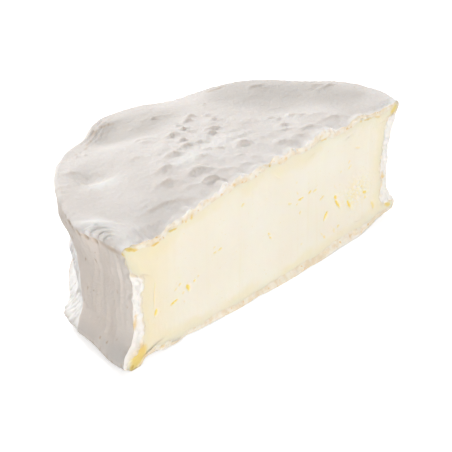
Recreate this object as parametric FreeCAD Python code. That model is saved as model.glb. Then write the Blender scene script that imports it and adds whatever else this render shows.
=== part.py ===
"""Half of a soft-ripened cheese wheel, cut straight down through its middle.

Frame: millimetres, +Z up. The cut face looks along -Y and the round wall is at +Y.
The model is worked out about the wheel's axis, with the cut in the plane y = 0 and the
underside's flat in the plane z = 0. It is then moved so that the origin is at the middle
of the bottom of its box.

The wheel has slumped and dried as it ripened. Its wall is drawn in to a waist, its lip
and foot flare out past that, its top is domed, and its underside lifts off the board
towards the edge. The outline is not a true circle: it has shallow lobes and dents.
"""

import FreeCAD, Part

import math
import os

# ---- driving dimensions ----
wheel_radius = 62.5        # lip, before the lobes and dents
rim_height = 40.2          # top edge of the lip above the board
crown_height = 43.6        # middle of the top above the board
foot_radius = 62.8         # foot, before the lobes and dents
foot_height = 3.9          # widest point of the foot above the board
foot_round = 1.8           # rounding at the foot
lip_round = 1.3            # rounding at the lip
waist_radius = 58.8        # waist, before the lobes and dents
flare_height = 12.5        # how far down the lip's flare reaches
kick_height = 9.0          # how far up the foot's flare reaches
flat_radius = 33.0         # flat that the half wheel rests on
flat_shift = 9.0           # extra reach of that flat towards +X, taken off towards -X
cap_radius = 7.0           # small level spot at the middle of the top

# Lobes (+) and dents (-) of the outline: direction in degrees, size in mm, half width in degrees.
OUTLINE_LOBES = (
    (0.0, -1.6, 3.5),
    (16.0, 2.7, 13.0),
    (48.0, 0.9, 9.0),
    (72.0, -2.4, 11.0),
    (97.0, 1.0, 5.0),
    (111.0, -1.7, 6.5),
    (134.0, 0.6, 9.0),
    (164.0, 2.4, 10.0),
)
body_follow = 0.4          # share of those lobes and dents that the waist and the foot take

# What the waist, the foot and two heights have of their own, in the same form.
WAIST_LOBES = (
    (0.0, -0.8, 12.0),
    (139.0, 0.8, 9.0),
)
FOOT_LOBES = (
    (137.0, -2.2, 11.0),
    (178.0, 0.6, 10.0),
)
FOOT_LIFTS = (
    (0.0, 0.8, 25.0),
    (180.0, -0.8, 30.0),
)
RIM_DIPS = (
    (16.0, 1.3, 11.0),
    (72.0, -1.0, 12.0),
    (109.0, -0.9, 9.0),
    (150.0, 0.5, 14.0),
)

# Swells (+) and hollows (-) of the top: direction in degrees, share of the wheel's radius,
# size in mm and half width in mm.
TOP_SWELLS = (
    (139.0, 0.80, -1.5, 8.0),
    (104.0, 0.90, -1.3, 7.0),
    (172.0, 0.75, -1.3, 12.0),
    (30.0, 0.80, -0.8, 14.0),
    (62.0, 0.55, 0.6, 12.0),
    (118.0, 0.50, 0.7, 9.0),
)

# ---- how the curves run ----
under_bend = 1.7           # above 1, the underside leaves the board more and more steeply
flare_bend = 1.4           # the same for the flare under the lip
foot_turn = (-75.0, 15.0)  # stretch of the foot's rounding that is used, in degrees above level
lip_turn = (0.0, 80.0)     # the same at the lip
relief_fade = 3.0          # the top's relief is at full size a third of the way in from the lip

# ---- how finely the skin is laid out ----
direction_steps = 72
under_steps = 7
kick_steps = 7
waist_steps = 5
flare_steps = 8
round_steps = 4
top_steps = 16


def bell(distance, half_width):
    """A smooth bump of height 1 that has fallen to a half at half_width."""
    return math.exp(-math.log(2.0) * (distance / half_width) ** 2)


def ease(share):
    """Runs from 0 to 1, level at both ends."""
    share = min(max(share, 0.0), 1.0)
    return share * share * (3.0 - 2.0 * share)


def around(table, degrees):
    """Sum of a table's lobes in one direction."""
    return sum(size * bell(degrees - at, width) for at, size, width in table)


def lip_radius(degrees):
    return wheel_radius + around(OUTLINE_LOBES, degrees)


def waist_reach(degrees):
    return waist_radius + body_follow * around(OUTLINE_LOBES, degrees) + around(WAIST_LOBES, degrees)


def foot_reach(degrees):
    return foot_radius + body_follow * around(OUTLINE_LOBES, degrees) + around(FOOT_LOBES, degrees)


def foot_level(degrees):
    return foot_height + around(FOOT_LIFTS, degrees)


def rim_level(degrees):
    return rim_height + around(RIM_DIPS, degrees)


def top_relief(x, y):
    """Swells and hollows of the top, faded out over its level middle."""
    total = 0.0
    for degrees, share, size, width in TOP_SWELLS:
        angle = math.radians(degrees)
        reach = share * wheel_radius
        away = math.hypot(x - reach * math.cos(angle), y - reach * math.sin(angle))
        total += size * bell(away, width)
    return total * ease((math.hypot(x, y) - cap_radius) / (2.0 * cap_radius))


def rounding(radius, level, size, turn):
    """Points of an edge's rounding, whose outermost point is at the given radius and level."""
    first, last = turn
    points = []
    for i in range(round_steps + 1):
        angle = math.radians(first + (last - first) * i / round_steps)
        points.append((radius - size + size * math.cos(angle), level + size * math.sin(angle)))
    return points


def underside(degrees):
    """From the edge of the flat out to where the foot starts to turn up, as (radius, height)."""
    start = flat_radius + flat_shift * math.cos(math.radians(degrees))
    end = foot_reach(degrees) - foot_round
    rise = foot_level(degrees) - foot_round
    points = []
    for i in range(under_steps):
        share = i / under_steps
        points.append((start + (end - start) * share, rise * share ** under_bend))
    return points


def wall(degrees):
    """From the foot in to the waist and out again under the lip."""
    reach, waist, lip = foot_reach(degrees), waist_reach(degrees), lip_radius(degrees)
    foot, edge = foot_level(degrees), rim_level(degrees) - lip_round
    points = []
    for i in range(1, kick_steps + 1):
        share = i / kick_steps
        points.append((reach + (waist - reach) * ease(share), foot + kick_height * share))
    start, end = foot + kick_height, edge - flare_height
    for i in range(1, waist_steps):
        points.append((waist, start + (end - start) * i / waist_steps))
    for i in range(flare_steps):
        share = i / flare_steps
        points.append((waist + (lip - waist) * share ** flare_bend, end + flare_height * share))
    return points


def top(degrees):
    """From inside the lip in to the level middle, over the dome."""
    rim = rim_level(degrees)
    start = lip_radius(degrees) - lip_round
    angle = math.radians(degrees)
    points = []
    for i in range(1, top_steps + 1):
        inwards = i / top_steps
        radius = start + (cap_radius - start) * inwards
        level = rim + (crown_height - rim) * math.sin(inwards * math.pi / 2.0)
        relief = top_relief(radius * math.cos(angle), radius * math.sin(angle))
        points.append((radius, level + relief * ease(relief_fade * inwards)))
    return points


def section(degrees):
    """The skin's section in one direction, from the underside's flat round to the top's middle."""
    foot = rounding(foot_reach(degrees), foot_level(degrees), foot_round, foot_turn)
    lip = rounding(lip_radius(degrees), rim_level(degrees) - lip_round, lip_round, lip_turn)
    return underside(degrees) + foot + wall(degrees) + lip + top(degrees)


def skin_points():
    """The grid of points that the skin passes through, one row for each direction."""
    rows = []
    for i in range(direction_steps + 1):
        degrees = 180.0 * i / direction_steps
        across = math.cos(math.radians(degrees))
        back = 0.0 if i in (0, direction_steps) else math.sin(math.radians(degrees))
        rows.append([FreeCAD.Vector(r * across, r * back, z) for r, z in section(degrees)])
    return rows


def half_wheel(rows):
    """The closed solid: the skin, the flat underneath, the level middle of the top and the cut."""
    skin = Part.BSplineSurface()
    skin.interpolate(rows)
    u_first, u_last, v_first, v_last = skin.bounds()
    right, left = skin.uIso(u_first).toShape(), skin.uIso(u_last).toShape()
    under, cap = skin.vIso(v_first).toShape(), skin.vIso(v_last).toShape()
    under_line = Part.LineSegment(rows[0][0], rows[-1][0]).toShape()
    cap_line = Part.LineSegment(rows[0][-1], rows[-1][-1]).toShape()
    faces = [
        skin.toShape(),
        Part.Face(Part.Wire([under, under_line])),
        Part.Face(Part.Wire([cap, cap_line])),
        Part.Face(Part.Wire(Part.__sortEdges__([right, cap_line, left, under_line]))),
    ]
    shell = Part.makeShell(faces)
    shell.sewShape()
    solid = Part.makeSolid(shell)
    if solid.Volume < 0.0:
        solid.reverse()
    return solid


def to_frame(rows, solid):
    """Moves the solid so that the origin is at the middle of the bottom of its box."""
    points = [point for row in rows for point in row]
    across = [point.x for point in points]
    back = [point.y for point in points]
    middle = FreeCAD.Vector((min(across) + max(across)) / 2.0, (min(back) + max(back)) / 2.0, 0.0)
    solid.translate(middle.negative())
    return solid


def main():
    os.makedirs("parts", exist_ok=True)
    rows = skin_points()
    cheese = to_frame(rows, half_wheel(rows))
    print("valid", cheese.isValid(), "closed", cheese.isClosed(), "faces", len(cheese.Faces))
    print("volume cm3", round(cheese.Volume / 1000.0, 2), "box", cheese.BoundBox)
    cheese.exportStep("parts/cheese_half.step")


main()
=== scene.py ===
"""Half of a soft-ripened cheese wheel: the looks.

The rind is a shell with the bumps, folds and wrinkles of its skin and a torn edge along the
cut. The paste is the body inside it, with cracks and knife marks in its cut face. Both are
worked out in millimetres about the wheel's axis, with the cut in the plane y = 0 and the board
at z = 0, and are then moved to the frame of the CAD model.
"""

import math

import bpy
import numpy as np
from mathutils import Matrix, Vector, noise


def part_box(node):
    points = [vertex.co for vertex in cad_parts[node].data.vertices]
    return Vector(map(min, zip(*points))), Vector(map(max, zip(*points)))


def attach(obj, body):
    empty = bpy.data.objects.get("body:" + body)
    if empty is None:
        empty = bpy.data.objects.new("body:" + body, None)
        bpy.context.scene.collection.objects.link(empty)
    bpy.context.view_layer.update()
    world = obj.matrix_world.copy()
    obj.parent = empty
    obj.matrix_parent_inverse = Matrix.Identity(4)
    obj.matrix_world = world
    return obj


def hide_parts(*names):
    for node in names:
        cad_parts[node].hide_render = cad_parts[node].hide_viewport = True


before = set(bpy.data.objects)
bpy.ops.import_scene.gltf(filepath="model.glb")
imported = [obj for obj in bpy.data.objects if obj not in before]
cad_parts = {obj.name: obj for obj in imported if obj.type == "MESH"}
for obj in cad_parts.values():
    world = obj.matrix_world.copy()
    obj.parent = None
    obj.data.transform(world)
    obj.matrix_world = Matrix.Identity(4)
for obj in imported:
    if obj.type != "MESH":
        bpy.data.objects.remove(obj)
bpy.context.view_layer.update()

MM = 0.001

# ---- the wheel's form, as in the CAD model, in mm and degrees ----
wheel_radius = 62.5
rim_height = 40.2
crown_height = 43.6
foot_radius = 62.8
foot_height = 3.9
foot_round = 1.8
lip_round = 1.3
waist_radius = 58.8
flare_height = 12.5
kick_height = 9.0
flat_radius = 33.0
flat_shift = 9.0
cap_radius = 7.0
body_follow = 0.4
under_bend = 1.7
flare_bend = 1.4
foot_turn = (-75.0, 15.0)
lip_turn = (80.0, 0.0)
relief_fade = 3.0

# Lobes (+) and dents (-): direction, size and half width.
OUTLINE_LOBES = (
    (0, -1.6, 3.5), (16, 2.7, 13), (48, 0.9, 9), (72, -2.4, 11), (97, 1, 5), (111, -1.7, 6.5),
    (134, 0.6, 9), (164, 2.4, 10),
)
WAIST_LOBES = ((0, -0.8, 12), (139, 0.8, 9))
FOOT_LOBES = ((137, -2.2, 11), (178, 0.6, 10))
FOOT_LIFTS = ((0, 0.8, 25), (180, -0.8, 30))
RIM_DIPS = ((16, 1.3, 11), (72, -1, 12), (109, -0.9, 9), (150, 0.5, 14))

# Swells (+) and hollows (-) of the top: direction, share of the wheel's radius, size, half width.
TOP_SWELLS = (
    (139, 0.80, -1.5, 8), (104, 0.90, -1.3, 7), (172, 0.75, -1.3, 12), (30, 0.80, -0.8, 14),
    (62, 0.55, 0.6, 12), (118, 0.50, 0.7, 9),
)

# ---- relief of the top ----
# Small dunes: x and y of the crest, height, half width along it, reach of the steep side, in mm.
DUNES = (
    (-18.3, 12.7, 1.9, 3.1, 1.7), (-20.2, 6.8, 1.6, 2.6, 1.3), (-15.6, 25.2, 1.2, 2.3, 1.3),
    (-8.7, 26, 1.3, 2.5, 1.2), (-4, 25.6, 0.6, 1.5, 0.8), (-5, 35.3, 0.8, 2.4, 0.9),
    (-6.5, 30.1, 0.8, 1.4, 0.7), (0.4, 35.6, 0.8, 1.1, 0.6), (0, 32.8, 0.6, 1, 0.5),
    (1.1, 39, 0.5, 1, 0.6), (5.7, 38.6, 1.1, 1.5, 1), (9, 40.6, 1, 1.4, 0.8),
    (12.6, 37.2, 0.5, 1.1, 0.6), (11.6, 33.6, 0.7, 1.3, 0.5), (12.3, 31.7, 0.3, 0.8, 0.4),
    (5.4, 29.3, 0.9, 1.7, 0.7), (3.5, 26.8, 0.9, 1.4, 0.8), (-3.9, 17.9, 0.6, 1.6, 0.7),
    (-6.4, 20.1, 0.5, 1.5, 0.6), (-11.2, 17.6, 0.9, 2.4, 2), (3.3, 14.8, 1.6, 1.9, 1.6),
    (-24, 21.4, 1.2, 2.7, 1.9), (-29.2, 15.4, 1.2, 2.7, 1.9), (-26.2, 8.7, 0.5, 2, 0.8),
    (30, 17.4, 0.8, 1.9, 0.7), (22.2, 14.8, 0.8, 1.8, 0.7), (24.4, 21.4, 0.5, 1.2, 0.6),
    (25, 19.2, 0.4, 0.8, 0.5), (20, 11.4, 0.4, 2.4, 0.5), (17.5, 13, 0.3, 1.6, 0.5),
    (11.5, 6.4, 0.8, 3, 1.4), (25.5, 7.6, 0.7, 3.4, 1.3), (37, 7, 0.7, 4.2, 1.5),
    (18.3, 6.2, 0.4, 2, 0.9), (-6, 5.6, 0.4, 2.5, 0.8), (-13.5, 7.4, 0.5, 3, 1.7),
    (-1, 6.6, 0.3, 2, 0.8), (-36, 8, 1, 9, 3.6), (-40.5, 43.5, 0.7, 3.6, 3), (-48.5, 39, 1, 2.6, 2),
    (3, 49, 0.5, 7, 3), (41, 41.5, 0.5, 2.5, 1.4), (0.6, 48.6, 0.4, 1.2, 0.8),
    (56, 23.8, 0.5, 3.2, 1), (54, 27.6, 0.4, 3.2, 1), (-3, 10.2, 0.3, 2, 0.7),
    (-12, 41, 0.3, 3, 0.9), (-13.5, 38.6, 0.3, 2.6, 0.8), (-23, 33.6, 0.3, 2.6, 1.2),
    (20.5, 45, 0.2, 1, 0.4), (-31.5, 49.2, 0.4, 0.8, 0.5), (-29.2, 47.8, 0.4, 0.7, 0.6),
    (35, 12.5, 0.3, 4, 1.6),
)
dune_heading = 246.0       # plan direction that the steep sides look in, in degrees
dune_size = 1.15           # share of the heights above that the dunes take
dune_even = 0.75           # below 1, the small dunes gain on the large ones
dune_reach = 1.15          # the steep side's reach, as a multiple of the one above
dune_shift = (-0.9, -1.3)  # how far all the dunes lie from their places above, in mm
dune_back = 1.1            # the gentle side's reach, as a multiple of the steep side's
dune_trough = 0.30         # hollow before the steep side, as a share of the dune's height
dune_bow = 0.22            # how far the crest's ends come forward, as a share of its half width
dune_fall = 1.1            # how fast the steep side falls
dune_trough_fall = 0.35    # how fast the hollow before it levels out
dune_bend = 1.25           # how sharply the gentle side bends down

# Broad swells (+) and hollows (-) of the top: x, y, half widths along x and y, size, in mm.
HOLLOWS = (
    (-40.5, 36.5, 4, 5, -0.9), (-41, 29.5, 6, 2, 0.7), (-18.5, 18.2, 3, 1.4, 0.5),
    (4.5, 18.5, 3, 1.5, 0.4), (-38, 3, 8, 3, -0.5), (29.8, 14.2, 2.6, 0.8, 0.4),
    (-52, 22, 5, 8, 0.4), (30, 26, 10, 9, -0.5), (-44.6, 38, 0.8, 6, 0.4),
)
# Painted shade (+) and painted light (-) in patches of the skin: x, y, half widths along x and y,
# strength.
PAINTED_SHADE_AND_LIGHT_PATCHES = (
    (33, 37, 13, 14, 1), (2, 50, 9, 5, 0.7), (-40, 38, 6, 5, 0.5), (-15, 52, 8, 3, 0.5),
    (-40, 8, 12, 7, 0.5), (48, 27, 7, 6, 0.4), (-24, 44, 9, 4, -0.4), (-41, 29, 7, 2.5, -1),
    (18, 52, 8, 3, -0.3), (62, 6, 2.5, 8, -0.5), (-50, 47, 8, 6, -0.4), (-58.5, 6, 4, 7, -0.55),
    (-8, 47, 12, 5, 0.8), (-9, 54, 5, 2.5, 0.6), (49, 18, 6, 9, 0.8), (57, 12, 4, 4, 0.6),
    (-48, 3, 5, 3.5, 0.2), (-48, 30, 5, 4, 0.5), (57, 2.5, 3, 2.5, -0.3), (-9, 56, 6, 2.5, 0.5),
    (10, 32, 6, 4, -0.4), (23, 27, 6, 5, -0.4), (-60, 14, 3, 4, -0.6), (-56, 14, 2, 3, -0.4),
    (-13, 52, 7, 4, 0.6), (-3, 21, 12, 3, -0.15), (-12, 19, 15, 7, -0.45), (22, 14, 9, 5, -0.4),
    (-17, 17.5, 3, 2, -0.4),
)
# Thin brown marks of the top: x and y of both ends, width in mm, strength.
TOP_MARKS = (
    (27.5, 50.8, 36, 48.6, 0.9, 0.45), (-14, 58, -6.6, 57, 0.6, 0.5),
    (-19.5, 55.8, -14, 57.2, 0.6, 0.45), (-25, 51.6, -18.5, 54.8, 0.6, 0.35),
    (-20, 53.6, -9, 55.4, 0.5, 0.2), (-28, 49.4, -24.5, 51.2, 0.6, 0.3),
    (20, 44.2, 21, 45.2, 0.35, 0.6), (0.2, 48.2, 1.6, 48.6, 0.6, 0.3),
    (-20.6, 12.6, -15.8, 12.8, 0.5, 0.25), (-17, 13.2, -15.2, 11.8, 0.6, 0.35),
    (-10.6, 25, -5.6, 26, 0.5, 0.3), (-7.4, 26.2, -5.8, 24.8, 0.6, 0.3),
    (-7.6, 29.5, -5.4, 29.6, 0.5, 0.3), (-6.4, 35, -3.4, 33.8, 0.5, 0.25),
    (4.4, 37.6, 9.8, 40.6, 0.5, 0.25), (4.8, 28.8, 7, 28.6, 0.5, 0.25),
    (2.6, 26, 4.8, 26.4, 0.5, 0.2), (11, 33.2, 12.8, 33.5, 0.4, 0.2),
    (-32, 49.4, -31, 49, 0.5, 0.3), (58, 23.6, 60.5, 23.2, 0.4, 0.3),
    (59, 15.6, 60.5, 16, 0.5, 0.3),
)

# ---- relief of the lip and the wall, in mm and degrees ----
fold_centre = (-65.5, -0.3)  # x and y that the lip's small folds swing round
fold_stretch = 1.85          # how much longer their swing is along y
fold_first = 4.5             # reach of a fold's crest, from which the others are spaced
fold_pitch = 0.2             # growth of the reach from fold to fold, as a logarithm
fold_size = 0.42             # height of the small folds
# What the rim, the lip and the foot have beyond the form: direction, size and half width.
RIM_RAISED = ((38, 0.9, 15), (3, 0.9, 6))
LIP_RAISED = ((171, 1.4, 5),)
LIP_DRAWN_IN = ((172.5, 1.6, 4),)
FOOT_DRAWN_IN = ((165, 2.2, 8),)
FOOT_LET_OUT = ((149.5, 3.2, 4.5),)
# Bulges (+) and hollows (-) of the wall: direction, height, half widths of both, size.
WALL_BULGES = (
    (138, 32.5, 12, 3.6, 1.4), (138, 18.5, 12, 1.6, 0.7), (141, 9, 12, 3.5, -1.8),
)
# Direction of the wall's sharp fold in degrees, by height.
FOLD_AT = (
    (0, 159), (5, 158.8), (9, 158), (12, 157), (17, 157.2), (21, 156.8), (25, 154.5), (28, 151.5),
    (33, 147), (40, 142),
)

# ---- the torn edge along the cut, in mm ----
bottom_lap = 1.25     # how far the lower band bulges out of the cut
least_band = 0.35     # the band's least width
highest = 44.7        # the top of the tallest lump
# How far the rind's edge lies below (+) or above (-) the form's top, by x.
TOP_DROOP = (
    (-64, 0.3), (-60, 0.4), (-57, 1.3), (-54, 1.5), (-51, 2.3), (-47.5, 2.1), (-45, 0.9),
    (-41, 0.8), (-38, 1.2), (-35.5, 0.1), (-34, 1.6), (-31, 0.6), (-27.5, 1.4), (-24, 0.9),
    (-21, -0.7), (-18.5, 1.1), (-14, 0), (-10.5, 1.1), (-6, 0.5), (-2.5, 1.3), (1, -0.2), (6, 1.2),
    (9, 0.4), (13, 1.5), (17.5, 0.5), (23, -0.5), (26.5, -0.5), (30, 0.8), (34.5, 1.1), (39, -0.3),
    (42.5, -0.9), (47, 0.3), (52, 0.4), (58, 0), (62, -0.4),
)
# Height of the paste's upper edge, by x.
PASTE_TOP = (
    (-64, 39.6), (-60, 39), (-55, 37.1), (-51.5, 36.4), (-46.8, 36.4), (-45, 37.7), (-40, 38),
    (-35, 38.3), (-31, 39), (-27, 39.7), (-23, 39.9), (-18.5, 40.2), (-16, 41.1), (-10, 40.3),
    (-4.5, 40.5), (-1.5, 41.5), (2, 41.5), (5.2, 39.9), (8, 41.1), (13.5, 40.1), (17, 39.8),
    (19.5, 40.9), (26.5, 41), (30.5, 39.8), (35.5, 39.7), (39, 40.4), (42.5, 40.7), (47.5, 40),
    (52, 38.9), (57, 39.2), (61, 40.1),
)
# How far the rind's lower edge lies above the form's bottom, by x.
BOTTOM_LIFT = (
    (-62.5, 0), (-60, -1), (-57, -1), (-54, 1.2), (-50.5, 1.3), (-46.5, 0.3), (-42.5, 0.2),
    (-37, 1), (-32, 0.5), (-24, 0.3), (-16, 0), (-10, 0.1), (-6.5, 0.5), (-1, 0.1), (5, 0), (11, 0),
    (17, 0.4), (22, 0.1), (27, 0), (33, 0.3), (39, 0), (45, 0), (49, 0.5), (53, 1), (56.5, 0.8),
    (62, 0),
)
# Width of the rind's lower band, by x.
BOTTOM_BAND = (
    (-62, 0.8), (-57, 1.2), (-53.5, 1.1), (-50, 1.8), (-46, 2.8), (-41, 1.5), (-36, 1.8),
    (-30, 1.6), (-25, 2.6), (-19, 2.1), (-12, 1.9), (-5, 1.6), (1, 2.1), (8, 2.3), (15, 2.4),
    (22, 2.3), (28, 3), (34, 3.5), (41, 3.9), (47, 2.8), (52, 2), (57, 1.6), (62, 0.8),
)
# Width of the rind's band at the left and right ends of the cut, by height.
LEFT_BAND = (
    (1.5, 1.4), (3, 3.8), (5, 6.2), (8, 6), (10.5, 5.4), (14, 4.6), (18, 4.3), (22, 4.3),
    (24.6, 4.7), (26.2, 6.2), (27.6, 5.2), (29, 3), (30.4, 1.4), (32.5, 0.5), (41, 0.35),
)
RIGHT_BAND = (
    (4, 0.5), (6.5, 1.8), (8.5, 4.6), (10.5, 6), (12, 4.9), (13.8, 3.4), (15.5, 3), (18, 4.5),
    (22, 4.8), (26, 4), (30, 4.5), (34, 5), (36.2, 5.6), (37.4, 2.6), (38.6, 0.6), (41, 0.4),
)

# ---- marks in the paste: x, z, length, width, tilt in degrees, depth, golden share ----
CRACKS = (
    (-42.3, 14.6, 3.6, 0.55, 12, 0.5, 1), (-36.3, 16.7, 2.6, 1.3, 115, 0.9, 0.9),
    (-33.8, 17.8, 1.2, 0.5, 0, 0.4, 0.9), (-32.2, 18.6, 0.8, 0.5, 130, 0.3, 0.6),
    (-40, 19.3, 1.3, 0.5, 40, 0.4, 0.7), (-41.6, 18.5, 1.5, 0.4, 22, 0.3, 0.5),
    (-38.6, 16, 1, 0.4, 20, 0.3, 0.5), (-38.2, 13, 0.8, 0.5, -30, 0.3, 0.4),
    (-25.1, 23.3, 1.6, 0.4, 8, 0.3, 0.7), (-22.9, 23.5, 1.7, 0.5, 15, 0.3, 0.8),
    (-25.3, 25, 1.1, 0.4, 20, 0.2, 0.5), (-13, 33.9, 1.5, 0.5, 15, 0.3, 0.7),
    (-49.7, 14.6, 2.4, 0.9, 70, 0.6, 0.9), (-50.2, 20.5, 9, 0.4, 88, 0.3, 0.25),
    (-0.9, 19.4, 1.3, 0.6, 140, 0.5, 0.7), (-0.2, 17.7, 1.5, 0.5, 150, 0.5, 0.8),
    (8.6, 25.6, 2, 0.4, 155, 0.3, 0.6), (13.9, 25.2, 2.9, 0.5, 0, 0.4, 1),
    (12.2, 24, 1.2, 0.4, 10, 0.3, 0.6), (18.1, 25.8, 1.6, 0.6, 12, 0.4, 0.9),
    (20.6, 25.4, 2.1, 0.6, 12, 0.4, 0.6), (13.7, 20.7, 1.3, 0.5, 40, 0.3, 0.6),
    (11.5, 31.5, 0.9, 0.5, 60, 0.2, 0.4), (12.2, 27.8, 1.3, 0.4, 130, 0.2, 0.4),
    (24.2, 21.6, 2.1, 0.5, 18, 0.3, 0.7), (26.6, 14.3, 3.5, 1, 55, 1, 1),
    (31.2, 18.9, 2.2, 1.1, 130, 0.9, 1), (32.6, 16, 4.6, 0.8, 127, 1, 1),
    (38.4, 13.7, 4, 0.8, 121, 1, 1), (46.3, 14.8, 2.4, 0.8, 155, 0.7, 0.9),
    (44.7, 17.8, 1.2, 0.7, 80, 0.6, 0.7), (46.7, 12.9, 1.3, 0.9, 110, 0.6, 0.6),
    (50.9, 8.6, 3.8, 1, 120, 0.5, 0.55), (31.2, 7.3, 1.9, 0.8, 100, 0.5, 0.45),
    (33.1, 8.1, 1.4, 0.5, 20, 0.4, 0.8), (26.2, 7.1, 1.3, 0.5, 120, 0.4, 0.8),
    (24.6, 8.7, 1.8, 0.3, 135, 0.2, 0.5), (41.4, 32.2, 2.6, 0.5, 165, 0.3, 0.4),
    (37.4, 28.9, 1.2, 0.4, 30, 0.2, 0.6), (37.8, 27, 2, 0.5, 15, 0.2, 0.5),
    (33.2, 26.9, 0.9, 0.5, 0, 0.2, 0.4), (14.6, 9.4, 0.7, 0.5, 40, 0.2, 0.4),
    (2.8, 36.7, 4.6, 0.35, 141, 0.35, 0), (-18.7, 27.4, 0.7, 0.5, 130, 0.3, 0),
    (30.9, 22.6, 2.6, 0.35, 130, 0.2, 0.2), (41, 16.2, 2.2, 0.4, 130, 0.3, 0.4),
)
# Crumbly patches of the paste: x, z, half widths along x and z, strength.
CRUMBLY = ((42, 17, 5.5, 4.5, 1), (-5, 33, 6, 4, 0.3), (-0.5, 18.4, 1.6, 1.6, 0.5))
# Golden marks where paste meets rind: x, z, length, width, tilt, strength.
SEEPS = (
    (-49.6, 36.4, 4, 0.55, -2, 1), (-42.8, 37.9, 4.6, 0.5, -6, 0.8), (-59, 38.6, 7, 0.7, -25, 1),
    (-63, 37.6, 5, 2.2, 110, 0.9), (-38.7, 38.9, 0.9, 0.7, 0, 0.9), (-37.3, 38.3, 0.7, 0.5, 0, 0.8),
    (-35, 38.9, 2.4, 1.2, 80, 0.6), (-17, 41.9, 1.8, 0.6, -40, 0.8), (-1.2, 42, 1.1, 0.6, -10, 0.9),
    (6.2, 41.6, 1.7, 0.7, -40, 0.7), (3, 41.3, 1.5, 0.5, -25, 0.5), (-7.5, 40.9, 0.8, 0.6, 0, 0.7),
    (24, 41.3, 4.6, 0.5, -3, 0.6), (42.4, 40.8, 1.4, 0.5, 0, 0.7), (46, 40.4, 5.6, 0.35, -8, 0.72),
    (51, 39.4, 3.6, 0.4, -20, 0.72), (59.6, 39, 5.6, 2.2, 38, 0.62),
    (55.2, 17.4, 3.6, 0.8, -68, 0.9), (59.2, 5.4, 5, 1.4, -25, 0.6), (-57, 3.4, 10, 5, 42, 0.68),
    (-59.6, 1.4, 3, 1.6, 40, 1), (-55.6, 6.6, 3, 1.4, -60, 0.7), (-47.6, 2.4, 2.4, 0.6, -10, 0.5),
    (-62.6, 34.5, 11, 2.2, 100, 0.6), (-58.4, 14.6, 4.4, 1.5, 80, 0.75),
    (-57.8, 17, 1.6, 0.9, 20, 0.6),
)

# ---- how finely the pieces are laid out ----
ring_across, ring_high = 300, 76   # steps of the rind along the cut's top and its sides
face_across, face_high = 400, 124  # the same for the paste's face
near_rows = np.array([0.0, 0.14, 0.32, 0.55, 0.85, 1.2, 1.6, 2.05])  # first rows, mm from the cut
far_rows = 106                     # rows from there to the back
wheel_reach = 62.0                 # depth of the half wheel, for those rows
arc_steps, wall_steps = 9, 60      # points of each rounding, and of the wall between them
inner_coarse = 4                   # steps of the outer surface for each one of the inner wall
coarse_share = 0.978               # reach of the underside's coarse part, as a share of the edge
inner_pull = 0.05                  # share by which the inner wall is drawn further in
inner_run = 15.0                   # depth behind the cut at which all of that is reached, in mm
# Rows of the inner wall, its scale and its shift in mm.
CAVITY = (12, (0.945, 0.95, 0.86), (0.0, 1.3, 3.0))
BODY = (16, (0.935, 0.94, 0.85), (0.0, 1.6, 3.2))
# Places of the band's rows, as shares of its width. The last one tucks in behind the paste.
BAND_SHARES = (0.04, 0.1, 0.18, 0.28, 0.39, 0.5, 0.61, 0.72, 0.82, 0.9, 0.96, 1.0, 1.04)
tuck = 0.8                         # how far back that last row lies, in mm
hidden = 0.9                       # how much of the paste's face the band hides, in mm
far_away = 9.0                     # distance given to points that have none, in mm

# ---- the studio ----
floor_glow, floor_size, floor_grey = 0.6, 6.0, 0.84
world_level = 0.345
# Azimuth and elevation of each lamp in degrees, distance and width in metres, power in watts.
LAMPS = (
    ("key", 76.0, 31.0, 0.9, 0.20, 6.9),
    ("front", 243.0, 8.0, 1.0, 0.9, 9.0),
)
# View of the camera in degrees and mm, about a point in the wheel's own millimetres.
view_azimuth, view_elevation, view_roll = -49.096, 28.783, 0.413
view_distance, view_lens = 526.4, 134.96
view_target = (8.45, 25.0, 9.06)

# Shares of x, y and z that noise follows.
LEVEL, ACROSS, UPRIGHT = (1.0, 1.0, 0.0), (1.0, 0.0, 0.0), (0.0, 0.0, 1.0)


# ---- small helpers ----
def bell(distance, half_width):
    """A smooth bump of height 1 that has fallen to a half at half_width."""
    return np.exp(-math.log(2.0) * (distance / half_width) ** 2)


def ease(share):
    """Runs from 0 to 1, level at both ends."""
    share = np.clip(share, 0.0, 1.0)
    return share * share * (3.0 - 2.0 * share)


def around(table, degrees):
    """Sum of a table's lobes in each direction."""
    return sum(size * bell(degrees - at, width) for at, size, width in table)


def read_table(table, where):
    """A smooth curve through a table's two columns."""
    at, value = np.array(table).T
    where = np.clip(where, at[0], at[-1])
    i = np.clip(np.searchsorted(at, where) - 1, 0, len(at) - 2)
    return value[i] + (value[i + 1] - value[i]) * ease((where - at[i]) / (at[i + 1] - at[i]))


def wander(points, size, octaves=1, start=0.0):
    """Smooth noise of about -1 to 1, with features of about the given size in mm."""
    shifted = np.asarray(points) / size + start
    values = [noise.fractal(Vector(p), 1.0, 2.0, octaves) for p in shifted.reshape(-1, 3)]
    return np.array(values).reshape(shifted.shape[:-1])


def crumbs(points, size, start=0.0):
    """Rounded lumps of about the given size in mm, from 0 in the gaps to 1 on the lumps."""
    shifted = np.asarray(points) / size + start
    values = []
    for p in shifted.reshape(-1, 3):
        near = noise.voronoi(Vector(p))[0]
        values.append(min(near[1] - near[0], 0.6) / 0.6)
    return ease(np.array(values).reshape(shifted.shape[:-1]))


def between(value, start, rise, end, fall):
    """Rises from 0 to 1 from start on, and falls back to 0 up to end."""
    return ease((value - start) / rise) * ease((end - value) / fall)


def patches(table, x, y):
    """Sum of a table's patches at each place."""
    return sum(size * bell(x - at_x, wide) * bell(y - at_y, deep)
               for at_x, at_y, wide, deep, size in table)


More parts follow.
